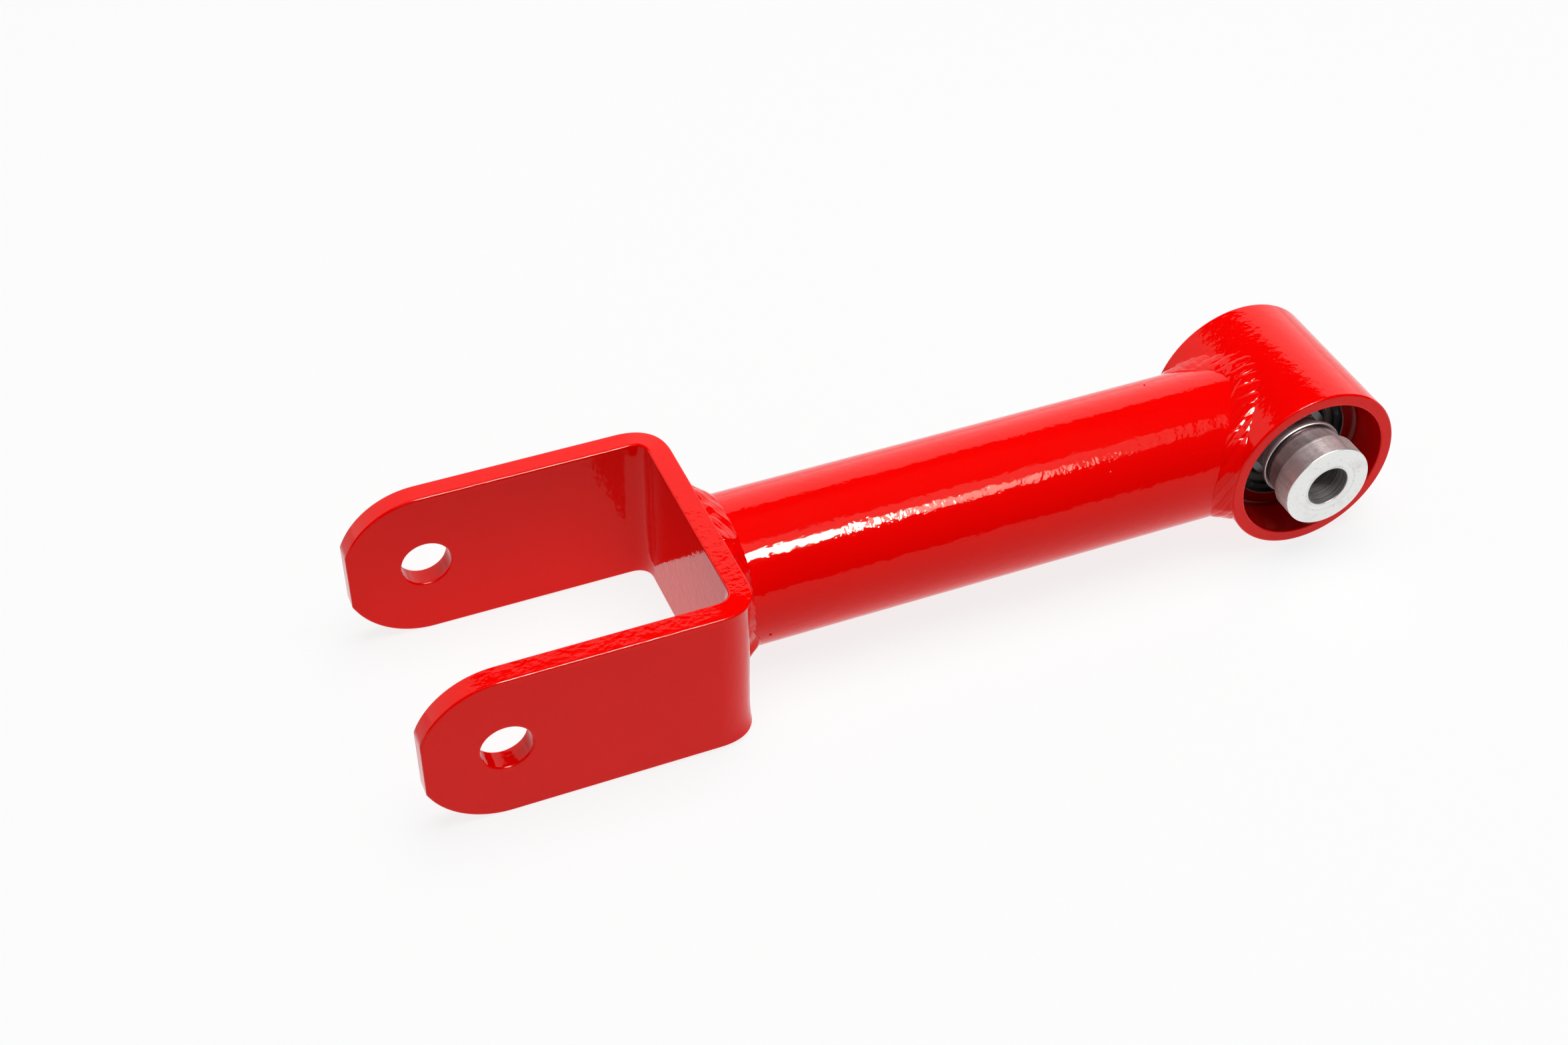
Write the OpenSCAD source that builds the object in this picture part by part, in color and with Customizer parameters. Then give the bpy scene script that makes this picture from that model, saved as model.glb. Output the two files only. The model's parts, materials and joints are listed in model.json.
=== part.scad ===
// Suspension control arm: a bent-plate clevis welded to a tube, and a cross barrel
// that holds a lined spherical bearing with two loose misalignment spacers.
// Millimetres. The origin is the middle of the clevis bolt axis; +X runs along the tube
// to the bearing, both bolts lie along Y, and +Z is up.

/* [Layout] */
// Clevis bolt axis to bearing centre
centre_distance = 252; // [200:1:600]

/* [Clevis] */
// Clear width between the two ears
clevis_gap = 68.3; // [55:0.1:120]
// Thickness of the bent plate
plate_t = 6.35; // [4:0.05:10]
// Inside radius of the two bends
bend_r = 6.35; // [3:0.05:12]
// Plate left above and below the tube
plate_rim = 1.775; // [0.5:0.005:15]
// Bolt axis to the outer face of the back
hole_to_back = 71.1; // [50:0.1:130]
// Bolt axis to the flat on the ear tips
hole_to_tip = 22.2; // [14:0.1:24]
// Diameter of the bolt hole through both ears
clevis_hole_d = 14.3; // [8:0.1:20]

/* [Tube] */
// Outside diameter of the tube
tube_od = 44.45; // [34:0.05:53]
// Wall of the tube
tube_wall = 3.05; // [1.5:0.05:6]

/* [Barrel] */
// Barrel left on each side of the tube
barrel_rim = 1.575; // [0.5:0.005:8]
// Wall around the mouths
barrel_wall = 3.89; // [3:0.01:8]
// Height of the web that seats the bearing, from a mouth's wall
web_step = 4.835; // [4:0.005:8]
// Web left outside each snap ring
web_lip = 1.58; // [1:0.01:4]
// Fillet where a mouth meets the web
web_fillet = 2; // [0.5:0.1:3]
// Chamfer on the web's edge
web_chamfer = 0.4; // [0.1:0.1:1]
// Chamfer outside the barrel's ends
rim_chamfer = 0.7; // [0.2:0.1:1.2]
// Chamfer inside the barrel's ends
mouth_chamfer = 0.4; // [0.2:0.1:1.2]

/* [Bearing] */
// Least thickness of the race, around the ball's equator
race_wall = 1.78; // [1.2:0.01:4]
// How far the ball's flats stand out of the race
race_setback = 1.995; // [1:0.005:4]
// Chamfer on the race's outer edges
race_chamfer = 0.6; // [0.2:0.1:1]
// Thickness of the low-friction liner
liner_t = 0.5; // [0.3:0.05:0.8]
// How far the liner stops short of the race's faces
liner_inset = 0.3; // [0.1:0.1:1]
// Diameter of the ball
ball_d = 31.75; // [30:0.01:40]
// Width of the ring that is each of the ball's flats
ball_rim = 3.15; // [1.5:0.05:3.5]
// Chamfer at the ends of the ball's bore
ball_chamfer = 0.5; // [0.2:0.1:1]

/* [Snap rings] */
// Thickness of a snap ring
ring_t = 1.5; // [1:0.1:2]
// Radial width of a snap ring
ring_w = 2.9; // [2:0.1:3.2]
// How deep a snap ring sits in the barrel
groove_depth = 1.2; // [0.6:0.1:2]
// Gap between a snap ring's ends
ring_gap = 6; // [2:0.5:12]

/* [Spacers] */
// Width across both spacers, which is the bracket they fit
bracket_w = 63.5; // [56:0.1:90]
// Diameter of a spacer's head
spacer_od = 27; // [24.8:0.1:32]
// Diameter of the bolt hole through the spacers
spacer_bore = 12.9; // [8:0.1:15]
// Wall of a spacer's sleeve inside the ball
sleeve_wall = 3.05; // [1.5:0.05:3.5]
// Shoulder of a spacer's waist against the ball
waist_step = 0.9; // [0.5:0.1:1.5]
// Length of the straight waist
waist_len = 3.4; // [1:0.1:6]
// Height of the lip over the neck
lip_step = 0.8; // [0.4:0.1:2]
// Ball face to the outer side of the lip
lip_reach = 8.4; // [7:0.1:10]
// Width of the lip's straight edge
lip_w = 0.5; // [0.3:0.1:1]
// Height of the groove's bottom over the waist
groove_step = 1.1; // [0.5:0.1:2]
// Width of the groove beside the lip
groove_w = 0.6; // [0.4:0.1:1]
// Height of the neck over the groove's bottom
neck_step = 0.4; // [0.2:0.1:1]
// Length of the neck between the groove and the head
neck_len = 6.325; // [3:0.005:8]
// Step from the neck up to the head
head_step = 0.25; // [0.1:0.05:0.5]
// Chamfer around the end face
spacer_chamfer = 0.35; // [0.1:0.05:1]
// Gap left between the two spacers inside the ball
spacer_gap = 0.6; // [0.2:0.1:3]

/* [Welds] */
// Leg of the weld around the tube at the clevis
clevis_weld_leg = 5.5; // [2:0.1:9]
// Leg of the weld along the tube at the barrel
barrel_weld_leg = 6; // [2:0.1:9]
// Most that the barrel weld spreads over the barrel
barrel_weld_spread = 4.5; // [2:0.1:8]
// How far a weld's face bulges
weld_crown = 0.7; // [0.2:0.1:1.5]

/* [Fits] */
// Radial clearance of the ball in its liner, and of the liner in the race
ball_clear = 0.05; // [0.02:0.01:0.1]
// Radial clearance of a spacer's sleeve in the ball
sleeve_clear = 0.05; // [0.02:0.01:0.1]
// Clearance of the race in its seat, at the radius
race_clear = 0.01; // [0.01:0.01:0.05]
// Clearance of a snap ring in its groove
ring_clear = 0.03; // [0.02:0.01:0.1]

/* [Hidden] */
$fn = 96;

// Colours
powder_red = [0.86, 0.05, 0.05];
weld_red = [0.78, 0.04, 0.04];
steel = [0.62, 0.62, 0.64];
chrome = [0.82, 0.83, 0.85];
liner_grey = [0.25, 0.27, 0.26];
ring_black = [0.12, 0.12, 0.13];
machined = [0.85, 0.85, 0.86];

// A cut runs this far past a face
past = 1;

plate_h = tube_od + 2 * plate_rim;
clevis_w = clevis_gap + 2 * plate_t;
bend_out_r = bend_r + plate_t;
tube_r = tube_od / 2;

// Radii from the bolt outwards
sleeve_r = spacer_bore / 2 + sleeve_wall;
ball_bore_r = sleeve_r + sleeve_clear;
flat_r = ball_bore_r + ball_rim;
liner_in_r = ball_d / 2 + ball_clear;
liner_out_r = liner_in_r + liner_t;
race_in_r = liner_out_r + ball_clear;
race_r = race_in_r + race_wall;
seat_r = race_r + race_clear;
mouth_r = seat_r + web_step;
barrel_r = mouth_r + barrel_wall;

// Distances from the barrel's middle plane outwards
ball_face = sqrt(pow(ball_d / 2, 2) - pow(flat_r, 2));
race_face = ball_face - race_setback;
ring_side = race_face + ring_clear;
groove_side = ring_side + ring_t + 2 * ring_clear;
web_face = groove_side + web_lip;
barrel_face = tube_r + barrel_rim;

// Radii of a spacer
waist_r = sleeve_r + waist_step;
groove_r = waist_r + groove_step;
neck_r = groove_r + neck_step;
lip_r = neck_r + lip_step;
head_r = spacer_od / 2;

// Distances along a spacer from the middle of the bearing
spacer_end = bracket_w / 2;
lip_face = ball_face + lip_reach;
lip_start = lip_face - 2 * lip_w;
groove_end = lip_face + groove_w;
head_start = groove_end + neck_len;

// Angular steps of the weld around the tube at the barrel
saddle_steps = 72;
// A weld's section starts this far under the surfaces it sits on
weld_root = 0.4;
// Metal left between the barrel weld and the barrel's end faces
weld_margin = 0.4;
// Straight steps that make up a mouth's fillet and a spacer's neck
fillet_steps = 8;
neck_steps = 10;
// The gaps of the snap rings lie this far above the tube's axis, on the tube's side
ring_gap_angle = 45;

// Points on an arc from angle a0 to a1 about (x, y)
function arc_points(x, y, r, a0, a1, steps) =
    [for (i = [0:steps]) let (a = a0 + (a1 - a0) * i / steps) [x + r * cos(a), y + r * sin(a)]];

// Puts a shape that was turned about Z on the bearing's axis
module on_bearing_axis() {
    translate([centre_distance, 0, 0]) rotate([-90, 0, 0]) children();
}

// A cylinder along Y, centred
module cross_cylinder(r, length) {
    rotate([90, 0, 0]) cylinder(r = r, h = length, center = true);
}

// Outline of a U in plan, closed at the back with round corners
module u_outline(back_x, half_w, corner_r) {
    front_x = -hole_to_tip - past;
    translate([front_x, -half_w]) square([back_x - corner_r - front_x, 2 * half_w]);
    translate([back_x - corner_r - past, -half_w + corner_r])
        square([corner_r + past, 2 * (half_w - corner_r)]);
    for (side = [-1, 1])
        translate([back_x - corner_r, side * (half_w - corner_r)]) circle(r = corner_r);
}

// The plate seen from the side, with round ear tips cut flat
module ear_outline() {
    intersection() {
        union() {
            circle(r = plate_h / 2);
            translate([0, -plate_h / 2]) square([hole_to_back + past, plate_h]);
        }
        translate([-hole_to_tip, -plate_h])
            square([hole_to_back + hole_to_tip + 2 * past, 2 * plate_h]);
    }
}

module clevis_bracket() {
    color(powder_red)
    difference() {
        intersection() {
            translate([0, 0, -plate_h / 2]) linear_extrude(height = plate_h) difference() {
                u_outline(hole_to_back, clevis_w / 2, bend_out_r);
                translate([-past, 0])
                    u_outline(hole_to_back - plate_t + past, clevis_gap / 2, bend_r);
            }
            rotate([90, 0, 0]) translate([0, 0, -clevis_w])
                linear_extrude(height = 2 * clevis_w) ear_outline();
        }
        cross_cylinder(clevis_hole_d / 2, clevis_w + 2 * past);
    }
}

module arm_tube() {
    color(powder_red)
    difference() {
        translate([hole_to_back, 0, 0]) rotate([0, 90, 0]) difference() {
            cylinder(r = tube_r, h = centre_distance - hole_to_back);
            translate([0, 0, -past])
                cylinder(r = tube_r - tube_wall, h = centre_distance - hole_to_back + 2 * past);
        }
        translate([centre_distance, 0, 0])
            cross_cylinder(barrel_r, 2 * (barrel_face + past));
    }
}

// Half of the barrel's section above its middle plane, as radius and height
function barrel_half() = concat(
    [
        [seat_r, 0],
        [seat_r, ring_side],
        [seat_r + groove_depth, ring_side],
        [seat_r + groove_depth, groove_side],
        [seat_r, groove_side],
        [seat_r, web_face - web_chamfer],
        [seat_r + web_chamfer, web_face],
    ],
    arc_points(mouth_r - web_fillet, web_face + web_fillet, web_fillet, -90, 0, fillet_steps),
    [
        [mouth_r, barrel_face - mouth_chamfer],
        [mouth_r + mouth_chamfer, barrel_face],
        [barrel_r - rim_chamfer, barrel_face],
        [barrel_r, barrel_face - rim_chamfer],
        [barrel_r, 0],
    ]
);

module bearing_barrel() {
    color(powder_red)
    on_bearing_axis() for (side = [0, 1])
        mirror([0, 0, side]) rotate_extrude() polygon(barrel_half());
}

module clevis_weld() {
    color(weld_red)
    translate([hole_to_back, 0, 0]) intersection() {
        rotate([0, 90, 0]) rotate_extrude() polygon([
            [tube_r, 0],
            [tube_r + clevis_weld_leg, 0],
            [tube_r + clevis_weld_leg / 2 + weld_crown, clevis_weld_leg / 2 + weld_crown],
            [tube_r, clevis_weld_leg],
        ]);
        translate([0, -clevis_w / 2, -plate_h / 2])
            cube([clevis_weld_leg + past, clevis_w, plate_h]);
    }
}

// Where a cylinder of radius r along the tube's axis meets one of radius br about the bearing
// axis, or passes straight over it
function saddle_point(r, br, a) =
    [centre_distance - sqrt(max(0, br * br - pow(r * sin(a), 2))), r * cos(a), r * sin(a)];

// How far the weld spreads over the barrel before it reaches an end face or the crest
function saddle_spread(a) = min(
    barrel_weld_spread,
    (barrel_face - weld_margin - rim_chamfer) / max(abs(cos(a)), 0.01) - tube_r,
    (barrel_r - weld_crown - weld_root) / max(abs(sin(a)), 0.01) - tube_r
);

// One section of the weld at the barrel: under the joint, on the tube, its crown, on the barrel
function saddle_section(a) =
    let (
        spread = max(saddle_spread(a), weld_crown),
        on_tube = saddle_point(tube_r - weld_root, barrel_r, a) - [barrel_weld_leg, 0, 0],
        on_barrel = saddle_point(tube_r + spread, barrel_r - weld_root, a),
        out = [-1, cos(a), sin(a)] / sqrt(2)
    ) [
        saddle_point(tube_r - 2 * weld_root, barrel_r - 2 * weld_root, a),
        on_tube,
        (on_tube + on_barrel) / 2 + weld_crown * out,
        on_barrel,
    ];

module barrel_weld() {
    sections = [for (i = [0:saddle_steps - 1]) saddle_section(360 * i / saddle_steps)];
    size = len(sections[0]);
    points = [for (section = sections) for (point = section) point];
    faces = [
        for (i = [0:saddle_steps - 1], j = [0:size - 1])
            let (next = (i + 1) % saddle_steps, side = (j + 1) % size)
            each [
                [i * size + j, i * size + side, next * size + side],
                [i * size + j, next * size + side, next * size + j],
            ]
    ];
    color(weld_red)
    difference() {
        polyhedron(points = points, faces = faces);
        translate([hole_to_back, 0, 0]) rotate([0, 90, 0])
            cylinder(r = tube_r, h = centre_distance - hole_to_back);
        translate([centre_distance, 0, 0]) cross_cylinder(barrel_r, 2 * (barrel_face + past));
    }
}

module bearing_race() {
    color(steel)
    on_bearing_axis() difference() {
        rotate_extrude() polygon([
            [ball_bore_r, -race_face],
            [race_r - race_chamfer, -race_face],
            [race_r, -race_face + race_chamfer],
            [race_r, race_face - race_chamfer],
            [race_r - race_chamfer, race_face],
            [ball_bore_r, race_face],
        ]);
        sphere(r = race_in_r);
    }
}

module race_liner() {
    color(liner_grey)
    on_bearing_axis() intersection() {
        difference() {
            sphere(r = liner_out_r);
            sphere(r = liner_in_r);
        }
        cylinder(r = race_r, h = 2 * (race_face - liner_inset), center = true);
    }
}

module bearing_ball() {
    color(chrome)
    on_bearing_axis() difference() {
        intersection() {
            sphere(r = ball_d / 2);
            cylinder(r = ball_d, h = 2 * ball_face, center = true);
        }
        rotate_extrude() polygon([
            [0, -ball_face - past],
            [ball_bore_r + ball_chamfer + past, -ball_face - past],
            [ball_bore_r, -ball_face + ball_chamfer],
            [ball_bore_r, ball_face - ball_chamfer],
            [ball_bore_r + ball_chamfer + past, ball_face + past],
            [0, ball_face + past],
        ]);
    }
}

// An open ring beside the race; side is 1 for +Y and -1 for -Y
module snap_ring(side) {
    outer_r = seat_r + groove_depth - ring_clear;
    color(ring_black)
    translate([centre_distance, side * (ring_side + ring_clear + ring_t / 2), 0]) difference() {
        cross_cylinder(outer_r, ring_t);
        cross_cylinder(outer_r - ring_w, ring_t + 2 * past);
        rotate([0, ring_gap_angle, 0]) translate([-2 * outer_r, -ring_t, -ring_gap / 2])
            cube([2 * outer_r, 2 * ring_t, ring_gap]);
    }
}

module right_snap_ring() { snap_ring(-1); }
module left_snap_ring() { snap_ring(1); }

// A spacer's section as radius and distance from the middle of the bearing
function spacer_section() = concat(
    [
        [spacer_bore / 2, spacer_gap / 2],
        [sleeve_r, spacer_gap / 2],
        [sleeve_r, ball_face],
        [waist_r, ball_face],
        [waist_r, ball_face + waist_len],
        [lip_r, lip_start],
        [lip_r, lip_start + lip_w],
        [lip_r - lip_w, lip_face],
        [groove_r, lip_face],
        [groove_r, groove_end],
        [neck_r, groove_end],
    ],
    // The neck sweeps out to the head
    [for (i = [1:neck_steps]) let (t = i / neck_steps) [
        neck_r + (head_r - head_step - neck_r) * t * t,
        groove_end + (head_start - groove_end) * t,
    ]],
    [
        [head_r, head_start],
        [head_r, spacer_end - spacer_chamfer],
        [head_r - spacer_chamfer, spacer_end],
        [spacer_bore / 2 + spacer_chamfer, spacer_end],
        [spacer_bore / 2, spacer_end - spacer_chamfer],
    ]
);

// A spacer on one side of the ball; side is 1 for +Y and 0 for -Y
module spacer(side) {
    color(machined)
    on_bearing_axis() mirror([0, 0, 1 - side]) rotate_extrude() polygon(spacer_section());
}

module right_spacer() { spacer(0); }
module left_spacer() { spacer(1); }

clevis_bracket();
arm_tube();
bearing_barrel();
clevis_weld();
barrel_weld();
bearing_race();
race_liner();
bearing_ball();
right_snap_ring();
left_snap_ring();
right_spacer();
left_spacer();
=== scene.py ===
"""Suspension control arm: the visual model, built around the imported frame.

Everything is in metres. The clevis bolt axis is the origin's Y axis, the tube runs along +X to the
bearing, and +Z is up. Each operator makes one piece or one group of like pieces.
"""

import json
import math

import bmesh
import bpy
from bpy.props import FloatProperty, FloatVectorProperty, PointerProperty
from mathutils import Matrix, Vector


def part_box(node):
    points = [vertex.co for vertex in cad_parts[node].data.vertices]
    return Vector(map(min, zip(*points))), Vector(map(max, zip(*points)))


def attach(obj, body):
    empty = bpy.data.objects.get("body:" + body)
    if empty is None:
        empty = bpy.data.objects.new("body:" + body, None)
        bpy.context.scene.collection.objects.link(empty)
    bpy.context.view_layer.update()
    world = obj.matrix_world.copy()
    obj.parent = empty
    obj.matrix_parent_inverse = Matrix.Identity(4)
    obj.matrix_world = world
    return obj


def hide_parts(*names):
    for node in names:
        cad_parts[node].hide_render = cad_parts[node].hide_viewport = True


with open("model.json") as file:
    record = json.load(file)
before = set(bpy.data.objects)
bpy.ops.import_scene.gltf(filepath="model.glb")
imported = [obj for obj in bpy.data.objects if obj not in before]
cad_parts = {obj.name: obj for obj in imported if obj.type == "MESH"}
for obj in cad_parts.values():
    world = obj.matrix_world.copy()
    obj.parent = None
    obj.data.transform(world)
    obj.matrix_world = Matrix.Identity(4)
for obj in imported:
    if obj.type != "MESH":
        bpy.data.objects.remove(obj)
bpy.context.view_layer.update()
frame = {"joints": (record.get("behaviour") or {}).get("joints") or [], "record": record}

bl_info = {
    "name": "Control Arm",
    "version": (1, 0, 0),
    "blender": (4, 5, 0),
    "location": "View3D > Sidebar > Control Arm",
    "description": "Builds a welded suspension control arm with a spherical bearing",
    "category": "Add Mesh",
}

# Places that the frame gives
AXIS_X = frame["joints"][0]["pos_m"][0]
MOUNTS = {mount["name"]: mount for mount in frame["record"]["mounts"]}
CLEVIS_HOLE_R = MOUNTS["clevis_bolt_bore"]["dims"]["r_mm"] / 1000
SPACER_BORE_R = MOUNTS["bearing_bolt_bore"]["dims"]["r_mm"] / 1000
CLEVIS_LOW, CLEVIS_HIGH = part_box("clevis_bracket")
PLATE_HALF = CLEVIS_HIGH.z
CLEVIS_SIDE = CLEVIS_HIGH.y
CLEVIS_BACK = CLEVIS_HIGH.x
CLEVIS_TIP = -CLEVIS_LOW.x
TUBE_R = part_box("arm_tube")[1].z
BARREL_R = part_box("bearing_barrel")[1].z
BARREL_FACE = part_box("bearing_barrel")[1].y
RACE_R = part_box("bearing_race")[1].z
RACE_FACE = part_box("bearing_race")[1].y
LINER_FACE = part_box("race_liner")[1].y
BALL_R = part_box("bearing_ball")[1].z
BALL_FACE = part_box("bearing_ball")[1].y
RING_LOW, RING_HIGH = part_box("left_snap_ring")
SPACER_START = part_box("left_spacer")[0].y
SPACER_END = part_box("left_spacer")[1].y
SPACER_HEAD_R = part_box("left_spacer")[1].z

# Steps around a turned piece, along a weld and across it, over an ear's end, around a bolt hole
# and over a bend
TURN_STEPS = 256
WELD_STEPS = 900
WELD_ROWS = 20
EAR_STEPS = 20
HOLE_STEPS = 80
BEND_STEPS = 18

# How far the welds' surfaces dip under the pieces that they lie on
CLEVIS_SINK = 0.00035
BARREL_SINK = 0.0003
ROOT_DEPTH = 0.0012


def length(name, description, default):
    """A length that a user may change, in metres."""
    return FloatProperty(name=name, description=description, default=default, min=0.0,
                         precision=5, unit="LENGTH")


def colour(name, description, default):
    """A colour that a user may change."""
    return FloatVectorProperty(name=name, description=description, default=default,
                               size=3, min=0.0, max=1.0, subtype="COLOR")


class ArmSizes(bpy.types.PropertyGroup):
    """Sizes that the frame's boxes don't give."""
    plate: length("Plate", "Thickness of the bent plate", 0.00635)
    bend: length("Bend", "Inside radius of the two bends", 0.00635)
    plate_edge: length("Plate edge", "Rounding of the plate's edges", 0.0006)
    bend_flare: length("Bend flare", "How far the plate's edges curl out at a bend", 0.0011)
    tube_wall: length("Tube wall", "Wall of the tube", 0.00305)
    mouth: length("Mouth", "Radius of the barrel's mouths", 0.0231)
    seat: length("Seat", "Radius of the bearing's seat", 0.018265)
    web_face: length("Web face", "Middle plane to the web's face", 0.0107)
    web_fillet: length("Web fillet", "Fillet where a mouth meets the web", 0.002)
    rim_edge: length("Rim edge", "Rounding outside the barrel's ends", 0.0007)
    mouth_edge: length("Mouth edge", "Rounding inside the barrel's ends", 0.0005)
    groove: length("Groove", "Depth of a snap ring's groove", 0.0012)
    groove_start: length("Groove start", "Middle plane to the groove", 0.00756)
    groove_end: length("Groove end", "Middle plane to the groove's far side", 0.00912)
    race_bore: length("Race bore", "Radius of the race's hollow", 0.016475)
    race_mouth: length("Race mouth", "Radius of the race's opening", 0.01465)
    liner: length("Liner", "Thickness of the liner", 0.0005)
    ball_bore: length("Ball bore", "Radius of the ball's bore", 0.00955)
    sleeve: length("Sleeve", "Radius of a spacer's sleeve", 0.0095)
    rest_gap: length("Rest gap", "Hairline between the ball and a spacer", 0.00004)
    waist: length("Waist", "Radius of a spacer's waist", 0.0104)
    waist_length: length("Waist length", "Length of the straight waist", 0.0034)
    lip: length("Lip", "Radius of a spacer's lip", 0.0127)
    lip_face: length("Lip face", "Middle plane to the outer side of the lip", 0.017925)
    lip_width: length("Lip width", "Width of the lip", 0.001)
    neck_groove: length("Neck groove", "Radius at the bottom of the groove", 0.0115)
    neck_start: length("Neck start", "Middle plane to the start of the neck", 0.018525)
    neck: length("Neck", "Radius of the neck beside the groove", 0.0119)
    head_start: length("Head start", "Middle plane to the head", 0.02485)
    head_step: length("Head step", "Step from the neck to the head", 0.00025)
    ring_width: length("Ring width", "Radial width of a snap ring", 0.0029)
    ring_gap: length("Ring gap", "Gap between a snap ring's ends", 0.006)
    clevis_bead: length("Clevis bead", "Leg along the tube of the weld at the clevis", 0.0052)
    clevis_rise: length("Clevis rise", "Leg up the plate of the weld at the clevis", 0.0038)
    barrel_bead: length("Barrel bead", "Leg of the weld along the tube", 0.0062)
    barrel_spread: length("Barrel spread", "Most that the weld spreads over the barrel", 0.0024)
    ripple_pitch: length("Ripple pitch", "Distance between the barrel weld's ripples", 0.0034)
    ripple_height: length("Ripple height", "Height of the barrel weld's ripples", 0.00048)
    wave_pitch: length("Wave pitch", "Distance between the clevis weld's waves", 0.0064)
    wave_height: length("Wave height", "Height of the clevis weld's waves", 0.00070)


class ArmFinish(bpy.types.PropertyGroup):
    """Colours of the finishes and of the floor."""
    coat: colour("Coat", "Powder coat", (0.86, 0.0010, 0.0005))
    coat_thick: colour("Thick coat", "Powder coat where it has pooled", (0.68, 0.0006, 0.0004))
    # Painted shade: a dark coat that stands for the shade inside the barrel
    painted_shade_in_barrel: colour("Coat inside", "Powder coat inside the barrel", (0.12, 0.0006, 0.0006))
    nib: colour("Nib", "Specks of dust in the powder coat", (0.9, 0.35, 0.3))
    # Painted shade: this steel is darkened to stand for the shade inside the barrel
    steel: colour("Steel", "Ground steel of the race and its seat", (0.13, 0.13, 0.126))
    # Painted shade: the ball's chrome is darkened to stand for the shade inside the barrel
    chrome: colour("Chrome", "Hard chrome of the ball", (0.10, 0.103, 0.11))
    turned: colour("Turned metal", "Turned metal of the spacers", (0.80, 0.80, 0.79))
    # Dark colour of the spacers' marks, and of the painted shade and painted streaks on them
    marks_and_painted_shade: colour("Grime", "Dark marks on the spacers", (0.16, 0.12, 0.125))
    liner: colour("Liner", "Woven liner", (0.035, 0.042, 0.036))
    oxide: colour("Black oxide", "Snap rings", (0.028, 0.028, 0.031))
    floor: colour("Floor", "Pale floor", (0.136, 0.13, 0.13))
    floor_glow: colour("Floor glow", "Light that the pale floor gives off", (0.988, 1.0, 0.998))


# Shader maths

class Wire:
    """An output of a shader node. Sums written on it add Math nodes."""

    def __init__(self, finish, socket):
        self.finish = finish
        self.socket = socket

    def math(self, operation, *others):
        values = {0: self}
        values.update(enumerate(others, 1))
        return self.finish.node("ShaderNodeMath", {"operation": operation}, values)

    def also(self, output):
        """Another output of the same node."""
        return Wire(self.finish, self.socket.node.outputs[output])

    def __add__(self, other):
        return self.math("ADD", other)

    __radd__ = __add__

    def __mul__(self, other):
        return self.math("MULTIPLY", other)

    __rmul__ = __mul__

    def __sub__(self, other):
        return self.math("SUBTRACT", other)

    def __rsub__(self, other):
        return self.finish.node("ShaderNodeMath", {"operation": "SUBTRACT"}, {0: other, 1: self})

    def __truediv__(self, other):
        return self.math("DIVIDE", other)

    def __pow__(self, other):
        return self.math("POWER", other)

    def smooth(self, low, high):
        """0 below low, 1 above high, and smooth between them."""
        return self.finish.node("ShaderNodeMapRange", {"interpolation_type": "SMOOTHSTEP"},
                                {"Value": self, "From Min": low, "From Max": high})


class Finish:
    """A material in the making."""

    def __init__(self, name):
        self.material = bpy.data.materials.new(name)
        self.material.use_nodes = True
        self.tree = self.material.node_tree
        self.tree.nodes.clear()
        self.place = self.node("ShaderNodeTexCoord", {}, {}, "Object")

    def node(self, kind, settings, values, output=0):
        """Adds a node: its settings first, then the values and links of its sockets."""
        node = self.tree.nodes.new(kind)
        for name, setting in settings.items():
            setattr(node, name, setting)
        for name, value in values.items():
            socket = find_socket(node.inputs, name)
            if isinstance(value, Wire):
                self.tree.links.new(value.socket, socket)
            else:
                socket.default_value = value
        return Wire(self, find_socket(node.outputs, output))

    def noise(self, size, detail=2.0, place=None):
        """Noise from 0 to 1 whose lumps are about this many metres across."""
        return self.node("ShaderNodeTexNoise", {},
                         {"Vector": place or self.place, "Scale": 1 / size, "Detail": detail})

    def mix(self, factor, first, second):
        """A colour between two colours."""
        return self.node("ShaderNodeMix", {"data_type": "RGBA"},
                         {"Factor_Float": factor, "A_Color": rgba(first), "B_Color": rgba(second)},
                         "Result_Color")

    def axis_place(self):
        """Distance from the bearing's axis, and distance along it."""
        x = self.node("ShaderNodeSeparateXYZ", {}, {"Vector": self.place}, "X")
        y = x.also("Y")
        z = x.also("Z")
        across = x - AXIS_X
        return (across * across + z * z) ** 0.5, y

    def across_place(self):
        """The place seen along the bearing's axis, from that axis."""
        return self.node("ShaderNodeVectorMath", {"operation": "MULTIPLY_ADD"},
                         {0: self.place, 1: (1.0, 0.0, 1.0), 2: (-AXIS_X, 0.0, 0.0)})

    def specks(self, cell, size):
        """1 in small round specks that lie about a cell apart, 0 elsewhere."""
        distance = self.node("ShaderNodeTexVoronoi", {},
                             {"Vector": self.place, "Scale": 1 / cell}, "Distance")
        return 1 - distance.smooth(0.6 * size / cell, size / cell)

    def rings(self, place, detail):
        """Noise that changes along one measure only, so that it lies in rings."""
        return self.node("ShaderNodeTexNoise", {"noise_dimensions": "1D"},
                         {"W": place, "Scale": 1.0, "Detail": detail})

    def bump(self, height, distance):
        """A normal from a height of 0 to 1 that stands for this many metres."""
        return self.node("ShaderNodeBump", {}, {"Height": height, "Distance": distance})

    def surface(self, values):
        """Ends the material in one Principled surface, and returns the material."""
        shader = self.node("ShaderNodeBsdfPrincipled", {}, values)
        self.node("ShaderNodeOutputMaterial", {}, {"Surface": shader}, None)
        return self.material


def find_socket(sockets, key):
    """A socket by its place, its identifier or its name."""
    if key is None:
        return None
    if isinstance(key, int):
        return sockets[key]
    for socket in sockets:
        if socket.identifier == key:
            return socket
    return sockets[key]


def rgba(value):
    """A link as it is, or a colour with its alpha."""
    return value if isinstance(value, Wire) else (*value, 1.0)


# Finishes

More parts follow.
